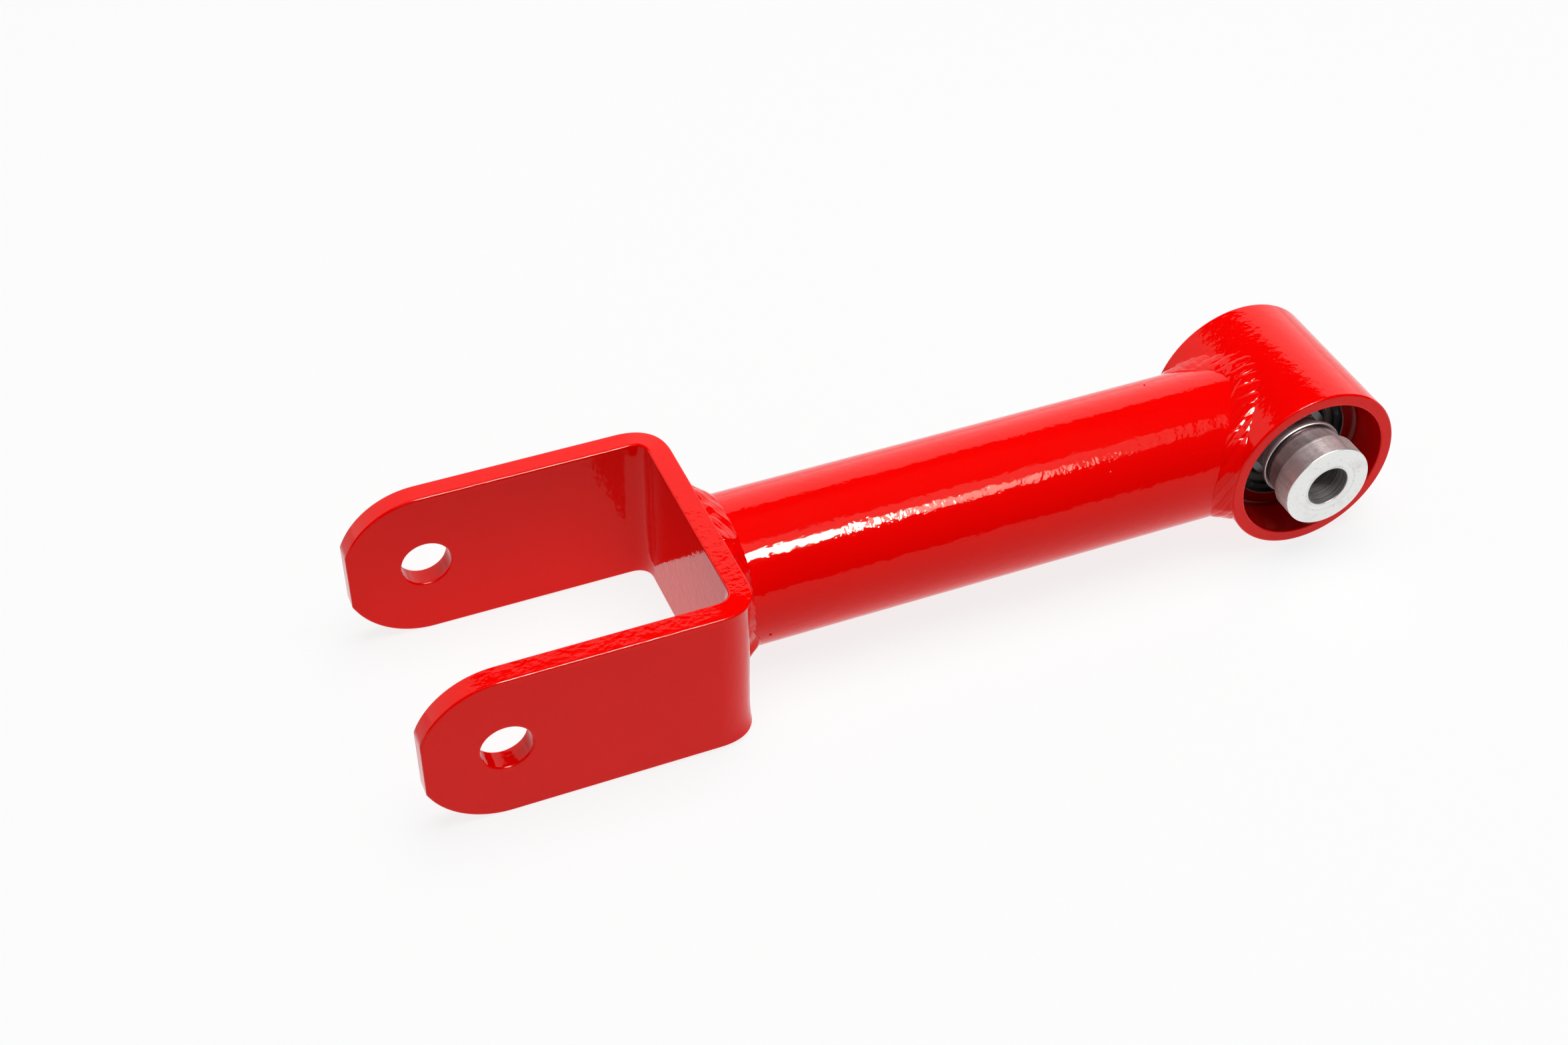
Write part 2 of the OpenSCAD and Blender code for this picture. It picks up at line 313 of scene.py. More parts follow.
def make_coat(name, thick=0.0, inside=None):
    """Gloss powder coat: orange peel, fine grain and a few nibs of dust.

    Within the radius given as inside, about the bearing's axis, it is rougher and carries painted
    shade.
    """
    colours = bpy.context.scene.arm_finish
    finish = Finish(name)
    peel = finish.noise(0.0030, 1.0)
    lumps = finish.noise(0.0012, 1.0)
    grain = finish.noise(0.00032, 1.0)
    cloud = finish.noise(0.030, 3.0)
    nibs = finish.specks(0.0180, 0.00032)
    height = peel + lumps * 0.55 + grain * 0.04 + nibs * 1.2
    tint = (cloud - 0.5) * 0.4 + (grain - 0.5) * 0.5 + 0.25 + thick
    dull = 0.030 + cloud * 0.04 + nibs * 0.25
    if inside:
        fade = 0.0004
        radius = finish.axis_place()[0]
        # 1 within the mouths, where the coat carries painted shade
        depth = 1 - radius.smooth(inside - fade, inside + fade)
        height = height + depth * finish.noise(0.0007, 2.0) * 0.35
    red = finish.mix(tint, colours.coat, colours.coat_thick)
    # Painted shade: the coat darkens inside the barrel
    if inside:
        red = finish.mix(depth * 0.92, red, colours.painted_shade_in_barrel)
    return finish.surface({
        "Base Color": finish.mix(nibs * 0.25, red, colours.nib),
        "Roughness": dull,
        "IOR": 1.40,
        "Specular IOR Level": 0.26,
        "Specular Tint": (1.0, 0.90, 0.74, 1.0),
        "Normal": finish.bump(height, 0.000068),
    })


def make_turned_metal(name, tone, roughness, ring_pitch, ring_depth, wear=0.5, spacer=None):
    """Bare metal off a lathe: fine rings about the axis, handling marks and small scratches.

    Given the sizes of a spacer, its bore is coarser and darkened by painted shade, its groove and
    the neck beside it carry painted shade, and painted reflection streaks run along its sides.
    """
    finish = Finish(name)
    radius, along = finish.axis_place()
    rings = finish.rings((radius + along) / ring_pitch, 3.0)
    per_metre = 900
    stretched = finish.node("ShaderNodeCombineXYZ", {},
                            {"X": radius * per_metre, "Y": along * per_metre,
                             "Z": finish.noise(0.03, 2.0) * 3})
    scratches = finish.noise(1.0, 4.0, stretched).smooth(0.56, 0.72)
    smudge = finish.noise(0.006, 4.0).smooth(0.50, 0.80)
    pits = finish.specks(0.0032, 0.00022)
    shade = smudge * (0.30 * wear) + scratches * (0.20 * wear) + pits * 0.5
    dark = tuple(part * 0.45 for part in tone)
    if spacer:
        dark = bpy.context.scene.arm_finish.marks_and_painted_shade
        depth = along.math("ABSOLUTE")

        # The bore, reamed in coarse rings, with painted shade darkening it, most on the rings
        ream_pitch = 0.0006
        inside = 1 - radius.smooth(SPACER_BORE_R + 0.0001, SPACER_BORE_R + 0.0003)
        reamed = finish.rings(along / ream_pitch, 2.0)
        shade = shade + inside * (0.35 + reamed.smooth(0.4, 0.6) * 0.5)
        rings = rings + inside * reamed * 3

        # The sides, from the lip to just short of the end face, with painted reflection streaks
        # along them, and the nicks elsewhere
        sides = (depth.smooth(spacer.lip_face, spacer.neck_start)
                 * (1 - depth.smooth(SPACER_END - 0.0005, SPACER_END - 0.0002)) * (1 - inside))
        around = finish.node("ShaderNodeVectorMath", {"operation": "NORMALIZE"},
                             {0: finish.across_place()})
        # Painted reflection streaks along the axis, in place of the highlights that turned sides
        # stretch
        painted_streaks = finish.noise(0.55, 2.5, around).smooth(0.42, 0.64)
        blotch = finish.noise(0.0016, 4.0).smooth(0.35, 0.75)
        nicks = finish.noise(0.0010, 3.0).smooth(0.60, 0.74)
        shade = shade + sides * (painted_streaks * 0.55 + blotch * 0.15) + (1 - sides) * nicks * 0.22
        rings = rings * (1 + sides * 4.0)

        # Painted shade in the groove, fading along the neck, and a duller finish inward of the lip
        painted_shade_fade = 0.0014
        marks_and_painted_shade = (depth.smooth(spacer.lip_face - 0.00012, spacer.lip_face)
                 * (1 - depth.smooth(spacer.neck_start, spacer.neck_start + painted_shade_fade)))
        shade = shade + marks_and_painted_shade
        roughness = roughness + (1 - depth.smooth(spacer.lip_face - 0.0001, spacer.lip_face)) * 0.12
    return finish.surface({
        "Base Color": finish.mix(shade, tone, dark),
        "Metallic": 0.92,
        "Roughness": roughness + rings * 0.06 + smudge * 0.05 + scratches * 0.05,
        "Normal": finish.bump(rings - pits * 0.6, ring_depth),
    })


def make_liner(name):
    """Dark woven low-friction liner."""
    colours = bpy.context.scene.arm_finish
    finish = Finish(name)
    weave = finish.node("ShaderNodeTexWave", {"wave_type": "BANDS", "bands_direction": "DIAGONAL"},
                        {"Vector": finish.place, "Scale": 900.0, "Distortion": 3.0, "Detail": 1.0})
    fuzz = finish.noise(0.0002, 3.0)
    tint = weave.also("Fac") * 0.6 + fuzz * 0.4
    pale = tuple(3 * part for part in colours.liner)
    return finish.surface({
        "Base Color": finish.mix(tint, colours.liner, pale),
        "Roughness": 0.75 + fuzz * 0.15,
        "Normal": finish.bump(tint, 0.00006),
    })


def make_oxide(name):
    """Black oxide over stamped spring steel, worn through in small places."""
    colours = bpy.context.scene.arm_finish
    finish = Finish(name)
    grain = finish.noise(0.0004, 3.0)
    worn = (finish.noise(0.0030, 4.0) + grain * 0.3).smooth(0.72, 0.88)
    return finish.surface({
        "Base Color": finish.mix(worn * 0.7, colours.oxide, colours.steel),
        "Metallic": 0.85,
        "Roughness": 0.42 + grain * 0.15,
        "Normal": finish.bump(grain, 0.00003),
    })


def make_floor(name):
    """Plain pale paper."""
    colours = bpy.context.scene.arm_finish
    finish = Finish(name)
    cloud = finish.noise(0.4, 2.0)
    shaded = tuple(0.9 * part for part in colours.floor)
    return finish.surface({
        "Base Color": finish.mix(cloud * 0.3, colours.floor, shaded),
        "Roughness": 0.9,
        "Specular IOR Level": 0.0,
        "Emission Color": rgba(colours.floor_glow),
        "Emission Strength": 0.83,
    })


# Mesh helpers

def rounded(corners, steps=5):
    """A closed outline with each corner (x, y, radius) rounded by an arc."""
    points = []
    count = len(corners)
    for index, (x, y, radius) in enumerate(corners):
        here = Vector((x, y))
        if radius <= 0:
            points.append(here)
            continue
        to_last = (Vector(corners[index - 1][:2]) - here).normalized()
        to_next = (Vector(corners[(index + 1) % count][:2]) - here).normalized()
        half = to_last.angle(to_next) / 2
        reach = radius / math.tan(half)
        centre = here + (to_last + to_next).normalized() * radius / math.sin(half)
        start = here + to_last * reach - centre
        end = here + to_next * reach - centre
        first = math.atan2(start.y, start.x)
        turn = math.remainder(math.atan2(end.y, end.x) - first, 2 * math.pi)
        for step in range(steps + 1):
            angle = first + turn * step / steps
            points.append(centre + radius * Vector((math.cos(angle), math.sin(angle))))
    return points


def skin(rings, closed=True, caps=False):
    """Vertices and faces between rings of points. Each ring is closed; the row of rings may be."""
    size = len(rings[0])
    vertices = [tuple(point) for ring in rings for point in ring]
    faces = []
    for index in range(len(rings) if closed else len(rings) - 1):
        here = index * size
        there = (index + 1) % len(rings) * size
        for side in range(size):
            across = (side + 1) % size
            faces.append((here + side, here + across, there + across, there + side))
    if caps:
        faces.append(tuple(range(size)))
        faces.append(tuple(range(len(vertices) - size, len(vertices))))
    return vertices, faces


def turned(outline, side=1, start=0.0, sweep=2 * math.pi, steps=TURN_STEPS):
    """An outline of (radius, distance along Y) turned about the bearing's axis."""
    whole = sweep >= 2 * math.pi
    rings = []
    for step in range(steps if whole else steps + 1):
        angle = start + sweep * step / steps
        rings.append([
            (AXIS_X + radius * math.cos(angle), side * along, radius * math.sin(angle))
            for radius, along in outline
        ])
    return skin(rings, closed=whole, caps=not whole)


def mirrored(half):
    """A whole outline from the half of it that lies above the middle plane."""
    return half + [(radius, -along, edge) for radius, along, edge in reversed(half)]


def join(parts):
    """One list of vertices and one of faces from several."""
    vertices = []
    faces = []
    for more_vertices, more_faces in parts:
        start = len(vertices)
        vertices += more_vertices
        faces += [tuple(start + corner for corner in face) for face in more_faces]
    return vertices, faces


def make_drop(centre, radius):
    """A small round drop, a little flattened."""
    rows = 8
    sides = 12
    flatness = 0.8
    rings = []
    for row in range(1, rows):
        tilt = math.pi * row / rows
        ring = []
        for side in range(sides):
            angle = 2 * math.pi * side / sides
            ring.append(Vector(centre) + radius * Vector((
                math.sin(tilt) * math.cos(angle),
                math.sin(tilt) * math.sin(angle),
                flatness * math.cos(tilt),
            )))
        rings.append(ring)
    return skin(rings, closed=False, caps=True)


def make_spatter(start, drops):
    """Drops of weld metal on the tube.

    Each is its distance along the tube from the start, its place across the tube and up it as
    shares of the tube's radius, and its own radius.
    """
    return [
        make_drop((start + along, across * TUBE_R, up * TUBE_R), radius)
        for along, across, up, radius in drops
    ]


def add_piece(name, shape, body, materials, pick_material=None):
    """Adds a piece that stands for the CAD node of its own name.

    The shape is a BMesh, or vertices and faces. pick_material gives a face the place of its
    material in the list.
    """
    mesh = bpy.data.meshes.new(name)
    if isinstance(shape, bmesh.types.BMesh):
        work = shape
    else:
        vertices, faces = shape
        mesh.from_pydata(vertices, [], faces)
        work = bmesh.new()
        work.from_mesh(mesh)
    bmesh.ops.remove_doubles(work, verts=work.verts, dist=1e-7)
    bmesh.ops.recalc_face_normals(work, faces=work.faces)
    for face in work.faces:
        face.smooth = True
        if pick_material:
            face.material_index = pick_material(face)
    work.to_mesh(mesh)
    work.free()
    for material in materials:
        mesh.materials.append(material)
    piece = bpy.data.objects.new(name + "_finished", mesh)
    bpy.context.scene.collection.objects.link(piece)
    normals = piece.modifiers.new("even_normals", "WEIGHTED_NORMAL")
    normals.weight = 80
    normals.mode = "FACE_AREA"
    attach(piece, body)
    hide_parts(name)
    return piece


def wander(travel, seed):
    """A slow irregular wave between -1 and 1."""
    return (math.sin(travel + seed) + 0.6 * math.sin(2.3 * travel + 1.7 * seed)
            + 0.35 * math.sin(5.1 * travel + 2.9 * seed)) / 1.95


def ease(value):
    """0 at 0, 1 at 1, and flat at both."""
    value = min(1.0, max(0.0, value))
    return value * value * (3 - 2 * value)


# Pieces

def plate_outline(inset, stations):
    """The flat bar's outline with its edges split at the stations, and how many points an ear has."""
    reach = stations[0]
    radius = PLATE_HALF - inset
    kink = math.acos(min(1.0, (CLEVIS_TIP - inset) / radius))
    arc = [kink + (math.pi / 2 - kink) * step / EAR_STEPS for step in range(EAR_STEPS + 1)]
    ear = [(reach + radius * math.cos(angle), radius * math.sin(angle)) for angle in arc]
    top = [(station, radius) for station in stations[1:-1]]
    upper = ear + top + [(-s, z) for s, z in reversed(ear)]
    return upper + [(s, -z) for s, z in reversed(upper)], len(ear)


def bent(point, sizes):
    """Takes a point of the flat bar (along, up, out) to its place on the bent clevis.

    At a bend the bar's edges curl out, and the bar is drawn in a little on its outer side.
    """
    edge_power = 7
    draw_in = 0.012
    along, up, out = point
    middle = sizes.bend + sizes.plate / 2
    flat = CLEVIS_SIDE - sizes.bend - sizes.plate
    side = 1 if along >= 0 else -1
    past = abs(along) - flat
    turn = min(max(past / middle, 0.0), math.pi / 2)
    curl = math.sin(2 * turn) ** 2 * (abs(up) / PLATE_HALF) ** edge_power
    out_now = out + sizes.bend_flare * curl
    up_now = up * (1 - draw_in * curl * out / (sizes.plate / 2))
    centre_x = CLEVIS_BACK - sizes.bend - sizes.plate
    if past <= 0:
        return Vector((centre_x + middle + out_now, along, up_now))
    straight = max(0.0, past - middle * math.pi / 2)
    x = centre_x + (middle + out_now) * math.cos(turn) - straight
    y = flat + (middle + out_now) * math.sin(turn)
    return Vector((x, side * y, up_now))


def plate_stations(sizes):
    """Where the flat bar is split along its length, and which of the splits the middle grid starts at.

    The grid covers the back and the bends, and ends a little way out along the ears.
    """
    grid_past_bend = 0.022
    flat = CLEVIS_SIDE - sizes.bend - sizes.plate
    bend_end = flat + (sizes.bend + sizes.plate / 2) * math.pi / 2
    arm = CLEVIS_BACK - sizes.bend - sizes.plate
    hole_at = bend_end + arm
    ear_from = bend_end + grid_past_bend
    half = [hole_at, 0.5 * (hole_at + ear_from), ear_from, 0.5 * (ear_from + bend_end)]
    half += [bend_end + (flat - bend_end) * step / BEND_STEPS for step in range(BEND_STEPS + 1)]
    half += [flat * 0.66, flat * 0.33]
    return half + [0.0] + [-station for station in reversed(half)], half.index(ear_from)


def edge_layers(sizes):
    """Insets and heights of the flat bar's layers, from one broad face to the other."""
    edge = sizes.plate_edge
    steps = 5
    lower = []
    for step in range(steps + 1):
        angle = math.pi / 2 * step / steps
        lower.append((edge * (1 - math.sin(angle)), -sizes.plate / 2 + edge * (1 - math.cos(angle))))
    return lower + [(inset, -out) for inset, out in reversed(lower)]


def edges_along(work, points, around=False):
    """The edges that join points in a row, or around a loop."""
    if around:
        return [work.edges.get((points[index], points[index - 1])) for index in range(len(points))]
    return [work.edges.get(pair) for pair in zip(points, points[1:])]


def make_clevis_shape(sizes):
    """The flat bar with two holes and rounded edges, then bent to a U."""
    stations, first = plate_stations(sizes)
    hole_at = stations[0]
    work = bmesh.new()
    layers = edge_layers(sizes)
    outers = []
    holes = {1: [], -1: []}
    for inset, out in layers:
        outline, ear_count = plate_outline(inset, stations)
        outers.append([work.verts.new((s, z, out)) for s, z in outline])
        for side in holes:
            radius = CLEVIS_HOLE_R + inset
            hole = []
            for step in range(HOLE_STEPS):
                angle = 2 * math.pi * step / HOLE_STEPS
                hole.append(work.verts.new((side * hole_at + radius * math.cos(angle),
                                            radius * math.sin(angle), out)))
            holes[side].append(hole)
    for stack in (outers, holes[1], holes[-1]):
        for here, there in zip(stack, stack[1:]):
            for index in range(len(here)):
                work.faces.new((here[index], here[index - 1], there[index - 1], there[index]))

    # The two broad faces: a grid over the middle, and a fill around each hole
    rows = [-0.96, -0.9, -0.82, -0.72, -0.6, -0.4, 0.0, 0.4, 0.6, 0.72, 0.82, 0.9, 0.96]
    last = len(stations) - 1 - first
    for layer in (0, len(layers) - 1):
        ring = outers[layer]
        count = len(ring)
        out = layers[layer][1]
        columns = []
        for index in range(first, last + 1):
            top = ring[ear_count - 1 + index]
            bottom = ring[count - ear_count - index]
            inner = [work.verts.new((top.co.x, row * top.co.y, out)) for row in rows]
            columns.append([bottom] + inner + [top])
        for here, there in zip(columns, columns[1:]):
            for low in range(len(here) - 1):
                work.faces.new((here[low], here[low + 1], there[low + 1], there[low]))
        span = ear_count + first
        middle = count // 2
        for side, column in ((1, columns[0]), (-1, columns[-1])):
            seam = edges_along(work, column)
            if side == 1:
                rim = edges_along(work, ring[:span]) + edges_along(work, ring[count - span:])
                rim.append(work.edges.get((ring[-1], ring[0])))
            else:
                rim = edges_along(work, ring[middle - span:middle + span])
            hole = edges_along(work, holes[side][layer], around=True)
            bmesh.ops.triangle_fill(work, use_beauty=True, edges=seam + rim + hole)
    for vertex in work.verts:
        vertex.co = bent(vertex.co, sizes)
    return work


def saddle(radius, barrel_radius, angle):
    """Where a cylinder about the tube's axis meets one about the bearing's."""
    up = radius * math.sin(angle)
    return Vector((AXIS_X - math.sqrt(max(0.0, barrel_radius ** 2 - up * up)),
                   radius * math.cos(angle), up))


def make_tube_shape(sizes):
    """The tube, square at the clevis and coped on the barrel."""
    inner = TUBE_R - sizes.tube_wall
    step_in = 0.0006
    lengths = 6
    rings = []
    for step in range(TURN_STEPS):
        angle = 2 * math.pi * step / TURN_STEPS
        outward = Vector((0.0, math.cos(angle), math.sin(angle)))
        ring = []
        for radius, backwards in ((TUBE_R, False), (inner, True)):
            end = saddle(radius, BARREL_R, angle).x
            stops = [CLEVIS_BACK, CLEVIS_BACK + step_in]
            stops += [CLEVIS_BACK + (end - CLEVIS_BACK) * part / lengths for part in range(1, lengths)]
            stops += [end - step_in, end]
            for x in reversed(stops) if backwards else stops:
                ring.append(Vector((x, 0.0, 0.0)) + outward * radius)
        rings.append(ring)
    return skin(rings)


def make_barrel_shape(sizes):
    """The barrel: two mouths, a web between them, and two grooves in the seat."""
    half = [
        (sizes.seat, sizes.groove_start, 0.0),
        (sizes.seat + sizes.groove, sizes.groove_start, 0.0),
        (sizes.seat + sizes.groove, sizes.groove_end, 0.0),
        (sizes.seat, sizes.groove_end, 0.0001),
        (sizes.seat, sizes.web_face, 0.0005),
        (sizes.mouth, sizes.web_face, sizes.web_fillet),
        (sizes.mouth, BARREL_FACE, sizes.mouth_edge),
        (BARREL_R, BARREL_FACE, sizes.rim_edge),
    ]
    return turned(rounded(mirrored(half), steps=7))


def lobe(phase):
    """Height of one ripple: a round top with a sharp valley on each side."""
    blunt = 0.985
    part = phase - math.floor(phase)
    return math.sqrt(max(0.0, 1 - (blunt * (2 * part - 1)) ** 2))


def ripple_phase(travel, pitch, bow, lag):
    """Which ripple a point of a bead lies on; the ripples trail towards the toes."""
    return travel / pitch - bow * lag - 0.30 * wander(travel * 130, 3.0)


def make_bead(sections, pitch, crown, height, bow, sharp):
    """Rings of points of a weld bead.

    Each section is its travel, its two toes, the direction out, the root under the joint, how strong
    the ripples are, how much more the bead rises, how deep the crater in it is, and how soft its
    shoulders are. bow is how far the ripples trail, and sharp how sharp their valleys are. The
    ripples fade towards the first toe.
    """
    unevenness = 0.00022
    rings = []
    for travel, first_toe, last_toe, outward, root, strength, swell, crater, soft in sections:
        ring = [root]
        for row in range(WELD_ROWS + 1):
            across = row / WELD_ROWS
            arch = 4 * across * (1 - across)
            phase = ripple_phase(travel, pitch, bow, 1 - arch)
            round_wave = 0.5 - 0.5 * math.cos(2 * math.pi * phase)
            ripple = sharp * lobe(phase) + (1 - sharp) * round_wave
            rise = crown * arch ** soft * (1 + 0.25 * wander(travel * 160, 1.0))
            uneven = strength * (0.65 + 0.35 * wander(travel * 95, 6.0))
            rise += height * uneven * (ripple - 0.4) * (0.10 + 0.90 * ease(1.9 * across - 0.75))
            rise += unevenness * ease(arch * 5) * wander(travel * 420 + 5 * across, 8.0)
            rise += swell * arch - crater * arch ** 2
            ring.append(first_toe.lerp(last_toe, across) + outward * rise)
        rings.append(ring)
    return rings


def make_clevis_weld_shape(sizes):
    """The bead around the tube on the clevis, with the blob where it was closed."""
    leg = sizes.clevis_bead
    blob_angle = math.radians(-156)
    blob_reach = 0.22
    crater_reach = 0.11
    tuck = 0.0006
    sections = []
    for step in range(WELD_STEPS):
        angle = 2 * math.pi * step / WELD_STEPS
        outward = Vector((0.0, math.cos(angle), math.sin(angle)))
        travel = angle * (TUBE_R + leg / 2)
        swell = 1 + 0.07 * wander(travel * 210, 2.0) + 0.05 * lobe(travel / sizes.wave_pitch)
        from_blob = abs(math.remainder(angle - blob_angle, 2 * math.pi))
        blob = ease(1 - from_blob / blob_reach)
        crater = ease(1 - from_blob / crater_reach)
        swell += 0.30 * blob
        room = (PLATE_HALF - CLEVIS_SINK) / max(abs(math.sin(angle)), 0.01) - TUBE_R
        rise = min(sizes.clevis_rise * swell, room)
        squeeze = ease(1 - rise / sizes.clevis_rise)
        root = Vector((CLEVIS_BACK - tuck, 0.0, 0.0)) + outward * (TUBE_R - ROOT_DEPTH)
        on_tube = Vector((CLEVIS_BACK + leg * swell, 0.0, 0.0)) + outward * (TUBE_R - CLEVIS_SINK)
        plate_x = CLEVIS_BACK - CLEVIS_SINK - tuck * squeeze
        on_plate = Vector((plate_x, 0.0, 0.0)) + outward * (TUBE_R + rise)
        direction = (outward + Vector((1 - 0.4 * squeeze, 0.0, 0.0))).normalized()
        sections.append((travel, on_tube, on_plate, direction, root, 1.0, 0.0010 * blob,
                         0.0016 * crater, 0.5))
    rings = make_bead(sections, sizes.wave_pitch, crown=0.0005, height=sizes.wave_height,
                      bow=0.30, sharp=0.15)
    spatter = make_spatter(CLEVIS_BACK, (
        (0.0098, -0.95, -0.31, 0.00042),
        (0.0125, -0.30, 0.954, 0.00032),
        (0.0082, 0.80, 0.60, 0.00038),
    ))
    return join([skin(rings)] + spatter)


def make_barrel_weld_shape(sizes):
    """The bead along the saddle where the tube meets the barrel.

    Its ripples and scallops are strong on top and underneath, and it is narrower there.
    """
    bow = 0.38
    least_spread = 0.0006
    crest_margin = 0.0011
    margin = sizes.rim_edge * 0.35
    sections = []
    travel = 0.0
    last = None
    for step in range(WELD_STEPS):
        angle = 2 * math.pi * step / WELD_STEPS
        joint = saddle(TUBE_R, BARREL_R, angle)
        travel += (joint - last).length if last else 0.0
        last = joint
        swell = 1 + 0.06 * wander(travel * 190, 4.0)
        top = abs(math.sin(angle)) ** 8
        strength = 0.05 + 0.95 * top
        phase = ripple_phase(travel, sizes.ripple_pitch, bow, 1.0)
        scallop = 1 + 0.80 * strength * (lobe(phase) - 0.5)
        to_side = (BARREL_FACE - margin) / max(abs(math.cos(angle)), 0.01) - TUBE_R
        to_crest = (BARREL_R - crest_margin) / max(abs(math.sin(angle)), 0.01) - TUBE_R
        spread = max(min(sizes.barrel_spread * swell * scallop, to_side, to_crest), least_spread)
        leg = sizes.barrel_bead * swell * (1 - 0.36 * math.sin(angle) ** 2)
        on_tube = saddle(TUBE_R - BARREL_SINK, BARREL_R, angle) - Vector((leg, 0.0, 0.0))
        on_barrel = saddle(TUBE_R + spread, BARREL_R - BARREL_SINK, angle)
        root = saddle(TUBE_R - ROOT_DEPTH, BARREL_R - ROOT_DEPTH, angle)
        outward = Vector((-1.0, math.cos(angle), math.sin(angle))).normalized()
        soft = 0.30 + 0.60 * top
        sections.append((travel, on_tube, on_barrel, outward, root, strength, 0.0, 0.0, soft))
    rings = make_bead(sections, sizes.ripple_pitch, crown=0.00035, height=sizes.ripple_height,
                      bow=bow, sharp=0.9)
    spatter = make_spatter(AXIS_X, (
        (-0.0385, -0.80, 0.60, 0.0003),
        (-0.0415, 0.35, 0.937, 0.00035),
    ))
    return join([skin(rings)] + spatter)


def make_spacer_shape(sizes, side):
    """One misalignment spacer: sleeve, waist, lip, groove, swept neck and head."""
    sweep_steps = 16
    broken = 0.0003
    sweep = []
    for step in range(1, sweep_steps + 1):
        part = step / sweep_steps
        radius = sizes.neck + (SPACER_HEAD_R - sizes.head_step - sizes.neck) * part * part
        sweep.append((radius, sizes.neck_start + (sizes.head_start - sizes.neck_start) * part, 0.0))
    corners = [
        (SPACER_BORE_R, SPACER_START, broken),
        (sizes.sleeve, SPACER_START, broken),
        (sizes.sleeve, BALL_FACE + sizes.rest_gap, 0.0),
        (sizes.waist, BALL_FACE + sizes.rest_gap, 0.0001),
        (sizes.waist, BALL_FACE + sizes.waist_length, 0.0006),
        (sizes.lip, sizes.lip_face - sizes.lip_width, 0.00015),
        (sizes.lip, sizes.lip_face, 0.0004),
        (sizes.neck_groove, sizes.lip_face, 0.00005),
        (sizes.neck_groove, sizes.neck_start, 0.00005),
        (sizes.neck, sizes.neck_start, 0.00008),
    ]
    corners += sweep
    corners += [
        (SPACER_HEAD_R, sizes.head_start, 0.00008),
        (SPACER_HEAD_R, SPACER_END, broken),
        (SPACER_BORE_R, SPACER_END, broken),
    ]
    return turned(rounded(corners), side=side)


def make_race_shape(sizes):
    """The race: chamfered outside, hollowed to a ball inside."""
    steps = 12
    chamfer = 0.0006
    start = math.atan2(RACE_FACE, sizes.race_mouth)
    half = []
    for step in range(steps):
        angle = start * step / steps
        half.append((sizes.race_bore * math.cos(angle), sizes.race_bore * math.sin(angle), 0.0))
    half += [(math.sqrt(sizes.race_bore ** 2 - RACE_FACE ** 2), RACE_FACE, 0.0001),
             (RACE_R - chamfer, RACE_FACE, 0.0002),
             (RACE_R, RACE_FACE - chamfer, 0.0002)]
    whole = [(radius, -along, edge) for radius, along, edge in reversed(half[1:])] + half
    return turned(rounded(whole, steps=3))


def make_band_shape(inner, outer, face):
    """A thin ball-shaped band between two radii, cut off at a distance from the middle."""
    steps = 12
    points = []
    for radius, order in ((outer, 1), (inner, -1)):
        reach = math.asin(face / radius)
        for step in range(-steps, steps + 1):
            angle = order * reach * step / steps
            points.append((radius * math.cos(angle), radius * math.sin(angle)))
    return turned(points)


def make_ball_shape(sizes):
    """The ball: cut flat on both sides, with a bore for the spacers."""
    steps = 24
    broken = 0.0002
    bore_edge = 0.0005
    reach = math.asin(BALL_FACE / BALL_R)
    corners = []
    for step in range(-steps, steps + 1):
        angle = reach * step / steps
        edge = broken if abs(step) == steps else 0.0
        corners.append((BALL_R * math.cos(angle), BALL_R * math.sin(angle), edge))
    corners += [(sizes.ball_bore, BALL_FACE, bore_edge), (sizes.ball_bore, -BALL_FACE, bore_edge)]
    return turned(rounded(corners, steps=4))


def make_snap_ring_shape(sizes, side):
    """An open ring with softly rounded edges; its gap faces up and towards the tube."""
    outer = RING_HIGH.z
    inner = outer - sizes.ring_width
    edge = 0.00018
    outline = rounded([
        (inner, RING_LOW.y, edge), (outer, RING_LOW.y, edge),
        (outer, RING_HIGH.y, edge), (inner, RING_HIGH.y, edge),
    ], steps=3)
    half_gap = math.asin(sizes.ring_gap / 2 / (outer - sizes.ring_width / 2))
    gap_angle = math.radians(135)
    return turned(outline, side=side, start=gap_angle + half_gap,
                  sweep=2 * math.pi - 2 * half_gap, steps=180)


def floor_tilt():
    """Slope of the floor that the barrel and the ears rest on."""
    return math.atan2(BARREL_R - PLATE_HALF, AXIS_X)


# Operators

